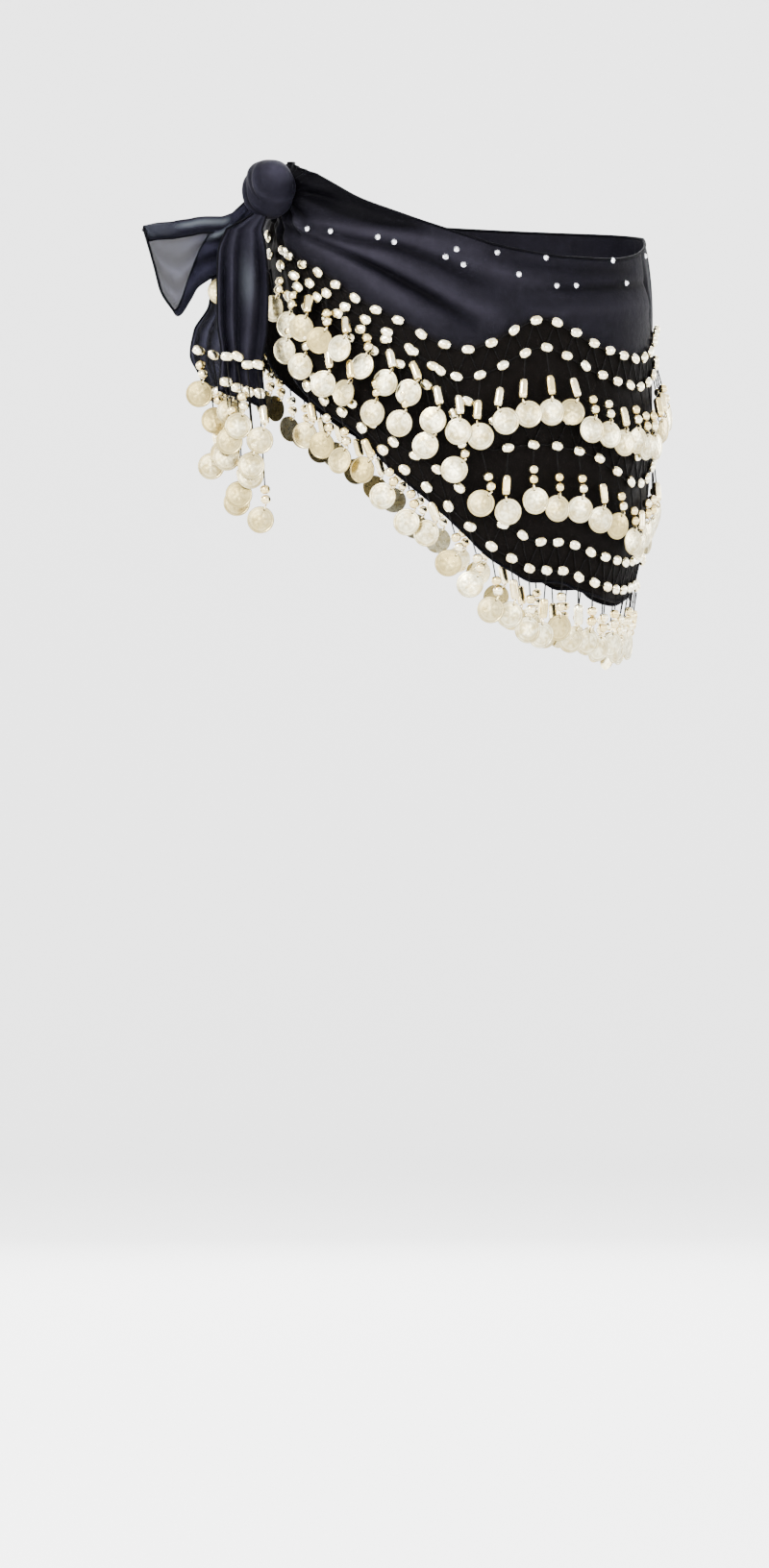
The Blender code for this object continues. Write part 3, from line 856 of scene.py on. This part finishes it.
def knot_gap(tilt, turn):
    """Pleats that wind round the knot on both sides of its groove, in millimetres."""
    side, rise, depth = knot_way(tilt, turn)
    along = GROOVE_SLANT[1] * side - GROOVE_SLANT[0] * rise
    wound = off_groove(side, rise) + 0.16 * math.sin(2.4 * along) + 0.12 * depth
    pleats = 0.75 * math.sin(13.0 * wound) + 0.45 * math.sin(22.0 * wound + 1.0)
    crossing = 0.7 * hump(along, 0.1, 0.5)
    corner = 2.6 * (2.0 * side * rise) ** 2 * (1.0 if rise > 0.0 else 0.5)
    return corner + pleats * (0.4 + crossing) * (1.0 - 0.65 * rise * rise)


def knot():
    rings, segments = 72, 128
    ways = [(-90.0 + 180.0 * i / rings, 360.0 * j / segments)
            for i in range(rings + 1) for j in range(segments)]
    gaps = np.array([knot_gap(*way) for way in ways])
    verts = [knot_place(*way, gap) for way, gap in zip(ways, gaps)]
    # Painted shade: the fold value pales the pleats' crests and darkens their troughs and the
    # knot's lower half
    low = np.maximum(0.0, -np.sin(np.radians([tilt for tilt, _ in ways])))
    fold = np.clip(0.44 + 0.16 * gaps - 0.22 * low, 0.0, 1.0)
    faces = ring_faces(rings + 1, segments)
    return new_piece("knot_gathers", verts, faces, KNOT_CLOTH, {"fold": fold})


def leave_knot(first, start):
    """Rows of places from inside the knot out to the first row of an end."""
    inside = np.array([knot_place(tilt, turn, -LEAVE_DEEP) for turn, tilt in first])
    shares = np.arange(LEAVE_STEPS) / LEAVE_STEPS
    return np.array([(1 - share) * inside + share * start for share in shares])


def bow_fold(u, v):
    """How far forward the bow's folds stand at u from the knot to the tip, v down its width."""
    out = 0.0
    for centre, half_width, forward, start, end in BOW_FOLDS:
        along = ease(start - 0.15, start + 0.1, u) * (1.0 - 0.75 * ease(end - 0.25, end + 0.1, u))
        out += forward * (0.35 + 0.65 * u) * along * hump(v, centre, half_width)
    return out


def bow_edges(u):
    """Upper edge, lower edge and depth of the bow at u, after its distance aside."""
    left = BOW_END[0][0] + (BOW_END[-1][0] - BOW_END[0][0]) * u
    return left, *[smooth(BOW_END, left, column) for column in (1, 2, 3)]


def bow_point(u, v):
    """Place on the bow end: u from the knot to the tip, v from the upper to the lower edge."""
    left, upper, lower, ahead = bow_edges(u)
    out = 4.0 * math.sin(math.pi * 2.0 * v + 0.6) * u + bow_fold(u, v)
    sag = 1.2 * math.sin(math.pi * v) * math.sin(3.0 * math.pi * u)
    return np.array((-left - sag, -ahead - out, upper + (lower - upper) * v)) * MM


def bow_grid(columns, rows, place, low=0.0, high=1.0):
    """A part of the bow with its way into the knot, where it takes the shares low to high."""
    body = np.array([[place(u, v) for v in shares_of(rows)] for u in shares_of(columns)])
    turn, tilt, spread = BOW_LEAVES
    first = [(turn, tilt + spread * (low + (high - low) * v)) for v in shares_of(rows)]
    return np.concatenate([leave_knot(first, body[0]), body])


def folded_edge(u, v):
    _, upper, lower, _ = bow_edges(u)
    share = min(0.9, BOW_FOLD_WIDE / (upper - lower))
    return bow_point(u, 0.01 + share * v) - np.array((0, 1.0 + 2.0 * v, -0.5)) * MM


def turned_back(u, v):
    lift = 1.6 + 2.6 * math.sin(math.pi * u) + 1.2 * math.sin(9.0 * v)
    return bow_point(u * (0.24 + 0.42 * v), 0.24 + 0.76 * v) - np.array((0, lift, 0)) * MM


# Painted shade of the bow: the folds' crests paler and their troughs darker
def sheet_shade(u, v):
    return np.array([[0.5 + bow_fold(a, b) / 8.0 for b in v[0]] for a in u[:, 0]])


# Painted shade of the folded edge: darker towards its lower part and by the neck
def edge_shade(u, v):
    return 0.36 - 0.24 * ease(0.4, 0.8, v) - 0.08 * (1.0 - ease(0.1, 0.6, u))


# Painted highlight: a light streak along the folded edge, and a paler part towards the tip
def edge_shine(u, v):
    streak = 0.62 * hump(v, 0.30, 0.17) * (1.0 - ease(0.50, 0.72, u)) * ease(0.0, 0.1, u)
    return streak + 0.16 * ease(0.55, 0.8, u) * (1.0 - ease(0.6, 0.9, v))


# Painted shade of the part turned back: waves of darker and paler, and darker by the neck
def back_shade(u, v):
    return 0.26 + 0.12 * np.sin(16.0 * v + 3.0 * u) - 0.08 * (1.0 - u)


# Painted highlight: a light streak near the upper edge of the part turned back
def back_shine(u, v):
    return 0.6 * hump(v, 0.10, 0.06) * np.sin(np.pi * u)


def bow_looks(grid, reach, plain, fold, shine=None):
    """Painted fold shade, painted highlight streaks and gathers: gathered at the neck, and plain
    from a share of the length.
    """
    columns, rows = grid.shape[:2]
    steps = (np.arange(columns) - LEAVE_STEPS) / (columns - LEAVE_STEPS - 1)
    u, v = np.clip(steps, 0.0, 1.0)[:, None], shares_of(rows)[None, :]
    looks = {
        "fold": np.clip(fold(u, v), 0.0, 1.0),
        "shine": np.clip(shine(u, v), 0.0, 1.0) if shine else 0.0,
        "gathered": plain + (1.0 - plain) * (1.0 - ease(0.0, reach, u)),
    }
    return {key: np.broadcast_to(values, (columns, rows)) for key, values in looks.items()}


def bow():
    """The free corner: a sheer sheet, its edge folded over and the part turned back at the neck."""
    sheet = bow_grid(90, 72, bow_point)
    fold = bow_grid(90, 20, folded_edge, high=0.3)
    back = bow_grid(50, 44, turned_back, low=0.24)
    parts = (
        ("bow_sheet", sheet, (0.62, 0.0, sheet_shade)),
        ("bow_folded_edge", fold, (0.8, 0.85, edge_shade, edge_shine)),
        ("bow_turned_back", back, (1.4, 0.75, back_shade, back_shine)),
    )
    pieces = [shell(name, grid, 0.35, SHEER, bow_looks(grid, *how)) for name, grid, how in parts]
    edges = (
        (sheet[:, 0], 1.1, 8), (sheet[:, -1], 1.1, 8), (sheet[-1], 1.3, 8),
        (fold[LEAVE_STEPS:, -1], 0.7, 6), (back[-1], 0.8, 6),
    )
    return *pieces, hem_piece("bow", edges)


def pleat(height, share):
    """Soft uneven pleats of a hanging end, from -1 in a trough to 1 on a crest."""
    warped = share + 0.05 * math.sin(2 * math.pi * share + 0.014 * height)
    wave = math.cos(6 * math.pi * (warped + 0.012 * math.sin(0.05 * height)))
    return 0.84 * wave + 0.10 * math.sin(14.0 * share + 0.035 * height)


def end_place(rows, height, share, out):
    """Place on a hanging end: on the cloth with out at 0, otherwise out from its crests."""
    falling = [(-row[0], *row[1:]) for row in rows]
    left, right, ahead, depth = (smooth(falling, -height, column) for column in (1, 2, 3, 4))
    proud = depth * pleat(height, share) if out == 0.0 else depth + out
    fall = (height - rows[0][0]) * (1.0 + END_SLANT * (2.0 * share - 1.0))
    return np.array((-left + (left - right) * share, -ahead - proud, rows[0][0] + fall)) * MM


def hanging_end(name, rows, turns, tilt, material, columns, steps, shone):
    """A hanging end from its turns on the knot, with one painted highlight spot and painted shade
    in its pleats.
    """
    shares = shares_of(columns)
    first = [(turns[0] + (turns[1] - turns[0]) * share, tilt) for share in shares]
    falls = rows[0][0] + (rows[-1][0] - rows[0][0]) * shares_of(steps)
    body = np.array([[end_place(rows, fall, share, 0.0) for share in shares] for fall in falls])
    grid = np.concatenate([leave_knot(first, body[0]), body])
    heights = grid[:, :1, 2] / MM
    crests = np.array([[pleat(height, share) for share in shares] for height in heights[:, 0]])
    uneven = np.sin(5.0 * shares + 0.045 * heights) * np.sin(0.07 * heights)
    # Painted shade: crests of the pleats paler, troughs darker, with an uneven wash; and one
    # painted highlight spot of the shine attribute
    looks = {
        "fold": 0.52 + 0.15 * crests + 0.07 * uneven,
        "shine": shone * hump(shares, 0.60, 0.11) * hump(heights, -53.0, 16.0),
        "gathered": np.full(crests.shape, 0.8),
    }
    edges = ((grid[:, 0], 0.95, 8), (grid[:, -1], 0.95, 8), (grid[-1], 1.0, 8))
    return shell(name, grid, 0.45, material, looks), hem_piece(name, edges)


# Beads, stems and coins

def axes_matrix(centre, across, outward, up):
    """Template's X goes across, its -Y outward and its Z up."""
    matrix = Matrix((across, -outward, up)).transposed().to_4x4()
    matrix.translation = centre
    return matrix


def tier_places(column):
    def places(angle, drop, out):
        return hip_point(angle, tier_line(column, angle) - drop, WALL / 2 + out)
    return places


def local_axes(places, station, half, drop, out):
    across = places(station + half, drop, out) - places(station - half, drop, out)
    across.normalize()
    rise = (places(station, drop - 2.0, out) - places(station, drop + 2.0, out)).normalized()
    outward = across.cross(rise).normalized()
    return across, outward, outward.cross(across)


def strung(start, end, steps):
    """Places of a straight thread."""
    return [start.lerp(end, k / steps) for k in range(steps + 1)]


def drop_parts(metal, coins, threads, places, station, half, drop, lift, yaw, seed, pale=1.0):
    """One drop: thread from its bead, a stem of two beads or a tube, a ring and a coin."""
    turn = math.radians(yaw)
    coin_out = lift + COIN_CLEAR + COIN_RADIUS * math.sin(abs(turn))
    across, outward, rise = local_axes(places, station, half, drop, coin_out)
    roll, lean = (math.radians(COIN_SWAY * (scatter(seed + k) - 0.5)) for k in (0.0, 0.5))
    turned = across * math.cos(turn) + outward * math.sin(turn)
    deep = outward * math.cos(turn) - across * math.sin(turn)
    swing = Matrix.Rotation(roll, 3, deep) @ Matrix.Rotation(lean, 3, turned)
    up, side, out = swing @ rise, swing @ turned, swing @ deep
    centre = places(station, drop, coin_out) + (rise - up) * COIN_RADIUS * MM
    coins.stamp(COIN, axes_matrix(centre, side, out, up), pale * scatter(seed + 0.25))
    hole = centre + up * HOLE_AT * COIN_RADIUS * MM
    for proud in (1.02, -0.12):
        threads.stamp(HOLE, axes_matrix(hole + out * proud * MM, side, up, out))
    ring = hole + up * RING_ABOVE * MM
    metal.stamp(RING, axes_matrix(ring, out, side, up), 0.2)
    foot = ring + up * STEM_ABOVE * MM
    bead_spot = places(station, *THREAD_END)
    heading = bead_spot - foot
    reach = heading.length
    heading.normalize()
    stem_side = (across - heading * across.dot(heading)).normalized()
    stem_out = stem_side.cross(heading)
    if scatter(seed + 0.75) < TUBE_SHARE:
        beads = ((TUBE_BEAD, 0.5),)
    else:
        beads = ((STEM_BEAD, 0.24), (STEM_BEAD, 0.72))
    for template, share in beads:
        up_by = share * STEM_LONG
        matrix = axes_matrix(foot + heading * up_by * MM, stem_side, stem_out, heading)
        metal.stamp(template, matrix, 0.5 * scatter(seed + up_by))
    if reach > STEM_LONG * MM:
        start = foot + heading * (STEM_LONG - 1.0) * MM
        tube(threads, strung(start, bead_spot, 3), 0.6, 5)


def row_bead(metal, places, station, half, drop, out, seed):
    across, outward, rise = local_axes(places, station, half, drop, out)
    swing = Matrix.Rotation(math.radians(BEAD_SWAY * (scatter(seed) - 0.5)), 3, outward)
    centre = places(station, drop, out)
    metal.stamp(ROW_BEAD, axes_matrix(centre, swing @ rise, outward, swing @ -across), 0.6)


def on_cloth(column, half, place=(0.0, 0.0)):
    """Places on the scarf's real surface, with its creases: half 1 is the upper bead line."""
    line = pair_line if half else tier_line

    def places(angle, drop, out):
        height = line(column, angle) - drop
        return hip_point(angle, height, relief_under(angle, height, place) + out)
    return places


def tier(tier_name, back):
    column, step, counts, short, long, lift = TIERS[tier_name]
    metal, coins, threads = Batch(), Batch(), Batch()
    places = tier_places(column)
    lower, upper = (on_cloth(column, half) for half in (0, 1))
    lower_beads, upper_beads = (on_cloth(column, half, BEAD_PLACE) for half in (0, 1))
    stations = []
    for i in range(counts[back]):
        angle = POINT_ANGLE + step * (i + 0.5) * (1 if back else -1)
        reach = float(ease(-24.0, 6.0, front_equal(angle)))
        drop = short + (long - short) * reach + DROP_STEPS[i % len(DROP_STEPS)]
        yaw = YAW_STEPS[(i + 2 * column + 4 * back) % len(YAW_STEPS)]
        stations.append((angle, drop, yaw, 100 * column + 31 * i + 1700 * back))
    stations.sort()
    swung = False
    for angle, drop, yaw, seed in stations:
        rise = SWUNG_LIFT if swung and angle >= SWUNG_TO else 0.0
        swung = not back and angle < SWUNG_TO
        yaw = SWUNG * yaw if swung else yaw
        drop_parts(metal, coins, threads, places, angle, 0.8, drop, lift + rise, yaw, seed)
        row_bead(metal, lower_beads, angle, 0.8, 0.0, ROW_PROUD, seed + 3)
        row_bead(metal, upper_beads, angle + 0.5 * step, 0.8, 0.0, ROW_PROUD, seed + 7)
    if tier_name == "upper" and not back:
        for angle, height in FIRST_BEADS:
            spot = tier_line(column, angle) - height
            row_bead(metal, lower_beads, angle, 0.8, spot, ROW_PROUD, int(-angle))
    first, last = stations[0][0], stations[-1][0]
    for line in (lower, upper):
        run = [line(a, 0.0, 1.0) for a in np.linspace(first, last, 5 * len(stations))]
        tube(threads, run, 0.7, 5)
    for angle, *_ in stations:
        for side in (-0.5, 0.5):
            beside = min(max(angle + side * step, first), last)
            run = strung(lower(angle, 0.0, 1.0), upper(beside, 0.0, 1.0), 4)
            tube(threads, run, 0.5, 4)
    label = f"{tier_name}_{'back' if back else 'front'}"
    return finish_fringe(label, f"fringe_{label}", metal, coins, threads)


def finish_fringe(label, cad_node, metal, coins, threads):
    pieces = [
        coins.piece(f"coins_{label}", COIN_GOLD, 32.0),
        metal.piece(f"beads_{label}", BEAD_GOLD, 50.0),
        threads.piece(f"threads_{label}", THREAD),
    ]
    for piece, slot in zip(pieces, ("gold", "gold", "chiffon")):
        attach(piece, "root")
    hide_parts(cad_node)
    return pieces


def end_fringe(name, index):
    rows, line, drops, lift = END_FRINGES[name]
    metal, coins, threads = Batch(), Batch(), Batch()

    def places(share, drop, out):
        return Vector(end_place(rows, line, share, WALL / 2 + out)) - UP * drop * MM

    for i, drop in enumerate(drops):
        share = (i + 0.5) / len(drops)
        seed = 4000 + 97 * index + 13 * i
        out = lift + 2.5 * i
        drop_parts(metal, coins, threads, places, share, 0.1, drop, out, 3.0, seed, END_PALE)
        uneven = 5.0 * (scatter(seed) - 0.5)
        row_bead(metal, places, share, 0.1, uneven, END_ROW_PROUD, seed + 5)
    run = [places(share, 0.0, 1.0) for share in np.linspace(0.02, 0.98, 14)]
    tube(threads, run, 0.6, 5)
    label = name.replace("fringe_", "")
    return finish_fringe(label, name, metal, coins, threads)


def studs():
    batch = Batch()
    for index, (angle, height) in enumerate(STUDS):
        out = relief_under(angle, height, STUD_PLACE)

        def places(station, drop, lift):
            return hip_point(station, height - drop, lift)

        across, outward, rise = local_axes(places, angle, 0.6, 0.0, out)
        swing = Matrix.Rotation(0.7 * index, 3, outward)
        centre = hip_point(angle, height, out + 0.2)
        batch.stamp(STUD, axes_matrix(centre, swing @ across, -(swing @ rise), outward))
    piece = batch.piece("crystal_studs", CRYSTAL, 12.0)
    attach(piece, "root")
    return piece


# Stage, light and camera

# Floor's height and flat radius, radius of its curve, and the backdrop's height, in metres
FLOOR = -1.055
FLOOR_FLAT = 5.0
FLOOR_CURVE = 2.0
BACKDROP_TOP = 4.0


def floor():
    """Pale floor that curves up into a backdrop on every side."""
    profile = [(radius, FLOOR) for radius in (0.0, 2.0, 4.2, FLOOR_FLAT)]
    for i in range(1, 13):
        turn = math.pi / 2 * i / 12
        rise = FLOOR_CURVE * (1 - math.cos(turn))
        profile.append((FLOOR_FLAT + FLOOR_CURVE * math.sin(turn), FLOOR + rise))
    profile.append((FLOOR_FLAT + FLOOR_CURVE, BACKDROP_TOP))
    segments = 96
    verts, faces = ring_verts(profile, segments), ring_faces(len(profile), segments)
    material = base_material("pale_backdrop", (0.93,) * 3, 0.9, Specular_IOR_Level=0.1)
    speckle(material, 0.8, ((0.3, (0.92,) * 3), (0.7, (0.94,) * 3)))
    new_piece("backdrop", verts, faces, material)


LIGHTS_AIM = Vector((0.0, 0.0, -0.1))


def area_light(name, place, size, power):
    light = bpy.data.lights.new(name, "AREA")
    light.shape = "SQUARE"
    light.size = size
    light.energy = power
    lamp = bpy.data.objects.new(name, light)
    lamp.location = place
    lamp.rotation_euler = (LIGHTS_AIM - Vector(place)).to_track_quat("-Z", "Y").to_euler()
    bpy.context.collection.objects.link(lamp)


def lights():
    area_light("key", (-2.1, -2.3, 1.9), 1.1, 300.0)
    area_light("back_light", (0.6, 2.4, 1.9), 1.8, 150.0)
    far, height = 3.2, 0.15
    for index, turn in enumerate((-150.0, -105.0, -62.0, -15.0, 35.0, 85.0, 130.0, 170.0)):
        way = math.radians(turn)
        place = (far * math.cos(way), far * math.sin(way), height)
        area_light(f"softbox_{index}", place, 1.0, 45.0)
    world = bpy.data.worlds.new("studio")
    world.use_nodes = True
    background = world.node_tree.nodes["Background"]
    background.inputs["Color"].default_value = (1.0, 1.0, 1.0, 1.0)
    background.inputs["Strength"].default_value = 3.0
    bpy.context.scene.world = world


# Camera: degrees from straight ahead, metres away, aside and up, the picture's height in pixels,
# and millimetres in a pixel at the hips
CAMERA_TURN = 8.0
CAMERA_FAR = 5.0
CAMERA_ASIDE = -0.0554
CAMERA_HEIGHT = -0.451
PICTURE_TALL = 1632
PIXEL = 0.77


def camera():
    """Low, level camera that looks from the left of straight ahead."""
    turn = math.radians(CAMERA_TURN)
    data = bpy.data.cameras.new("camera")
    data.sensor_fit = "VERTICAL"
    data.sensor_height = 24.0
    data.lens = 12.0 / (0.5 * PICTURE_TALL * PIXEL * MM / CAMERA_FAR)
    data.clip_end = 50.0
    lens = bpy.data.objects.new("camera", data)
    place = Vector((CAMERA_ASIDE, -CAMERA_FAR, CAMERA_HEIGHT))
    lens.location = Matrix.Rotation(-turn, 3, "Z") @ place
    lens.rotation_euler = (math.pi / 2, 0.0, -turn)
    bpy.context.collection.objects.link(lens)
    bpy.context.scene.camera = lens


def dress():
    front, front_hem = scarf("scarf_front", KNOT_ANGLE - 0.4, POINT_ANGLE, 380, 110)
    back, back_hem = scarf("scarf_back", POINT_ANGLE, BACK_END_ANGLE, 430, 100)
    gathers = knot()
    bow_sheet, bow_edge, bow_back, bow_hem = bow()
    hanging, hanging_hem = hanging_end(
        "hanging_end", HANGING_END, (112.0, 40.0), -62.0, KNOT_CLOTH, 90, 70, 0.30,
    )
    under, under_hem = hanging_end(
        "under_end", UNDER_END, (158.0, 186.0), -50.0, SHEER, 60, 60, 0.0,
    )
    cloth = (front, front_hem, back, back_hem, gathers, bow_hem, hanging, hanging_hem, under_hem)
    sheer = (bow_sheet, bow_edge, bow_back, under)
    for slot, pieces in (("chiffon", cloth), ("sheer", sheer)):
        for piece in pieces:
            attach(piece, "root")
    walls = (
        (front, "front_wrap"), (back, "back_wrap"), (gathers, "knot"),
        (bow_sheet, "tail_bow"), (hanging, "tail_hanging"), (under, "tail_under"),
    )
    for piece, cad_node in walls:
        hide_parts(cad_node)
    trims = {False: [], True: []}
    for tier_name in TIERS:
        for half in (False, True):
            trims[half] += tier(tier_name, half)
    ends = {name: end_fringe(name, index) for index, name in enumerate(END_FRINGES)}
    crystals = studs()


dress()
floor()
lights()
camera()
